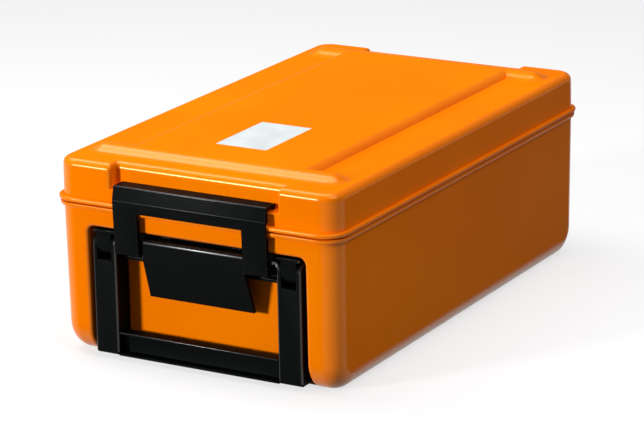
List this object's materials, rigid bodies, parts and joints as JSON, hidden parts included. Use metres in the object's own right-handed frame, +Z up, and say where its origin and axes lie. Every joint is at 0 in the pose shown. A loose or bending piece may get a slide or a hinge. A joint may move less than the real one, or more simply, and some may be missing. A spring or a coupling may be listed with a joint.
{
  "type": "insulated hard case with lift-off lid",
  "caption": "Double-walled insulated hard case with a lift-off stacking lid, a fold-down carrying handle and a draw latch at each short end.",
  "frame": {"origin": "on the ground under the middle of the case", "axes": "+Z up, long axis of the case along Y with one latch and handle at each end, -Y end is the one called front"},
  "size_m": [0.371, 0.634, 0.238],
  "materials": {
    "orange": "fine moulded satin polyethylene",
    "black": "satin glass-filled nylon",
    "foam": "closed-cell polyurethane foam",
    "seal": "matt sponge rubber",
    "label": "satin film on a thin plate",
    "steel": "turned stainless steel",
    "brass": "knurled brass"
  },
  "bodies": {
    "body": {"body_outer_shell": "orange", "body_inner_tub": "orange", "body_foam_core": "foam", "body_fill_plug": "black", "front_bracket": "black", "front_bracket_screws": "steel", "front_bracket_inserts": "brass", "front_lever_pin": "steel", "front_handle_pins": "black", "rear_bracket": "black", "rear_bracket_screws": "steel", "rear_bracket_inserts": "brass", "rear_lever_pin": "steel", "rear_handle_pins": "black"},
    "lid": {"lid_outer_shell": "orange", "lid_inner_shell": "orange", "lid_foam_core": "foam", "lid_fill_plug": "black", "lid_seal": "seal", "lid_label": "label"},
    "front_lever": {"front_lever": "black", "front_hasp_pin": "steel"},
    "front_hasp": {"front_hasp": "black"},
    "front_handle": {"front_handle": "black"},
    "rear_lever": {"rear_lever": "black", "rear_hasp_pin": "steel"},
    "rear_hasp": {"rear_hasp": "black"},
    "rear_handle": {"rear_handle": "black"}
  },
  "joints": [
    {"name": "lid_lift", "type": "slide", "parent": "body", "child": "lid", "axis": [0, 0, 1], "range_m": [0, 0.022]},
    {"name": "front_lever_swing", "type": "hinge", "parent": "body", "child": "front_lever", "pos_m": [0, -0.3, 0.145], "axis": [-1, 0, 0], "range_deg": [0, 76]},
    {"name": "front_hasp_swing", "type": "hinge", "parent": "front_lever", "child": "front_hasp", "pos_m": [0, -0.3, 0.136], "axis": [1, 0, 0], "range_deg": [0, 151]},
    {"name": "front_handle_swing", "type": "hinge", "parent": "body", "child": "front_handle", "pos_m": [0, -0.2911, 0.135], "axis": [-1, 0, 0], "range_deg": [0, 90]},
    {"name": "rear_lever_swing", "type": "hinge", "parent": "body", "child": "rear_lever", "pos_m": [0, 0.3, 0.145], "axis": [1, 0, 0], "range_deg": [0, 76]},
    {"name": "rear_hasp_swing", "type": "hinge", "parent": "rear_lever", "child": "rear_hasp", "pos_m": [0, 0.3, 0.136], "axis": [-1, 0, 0], "range_deg": [0, 151]},
    {"name": "rear_handle_swing", "type": "hinge", "parent": "body", "child": "rear_handle", "pos_m": [0, 0.2911, 0.135], "axis": [1, 0, 0], "range_deg": [0, 90]}
  ],
  "couplings": [
    {"joint": "front_lever_swing", "follows": "lid_lift", "rad_per_m": 59.5},
    {"joint": "front_hasp_swing", "follows": "lid_lift", "rad_per_m": 119},
    {"joint": "rear_lever_swing", "follows": "lid_lift", "rad_per_m": 59.5},
    {"joint": "rear_hasp_swing", "follows": "lid_lift", "rad_per_m": 119}
  ]
}
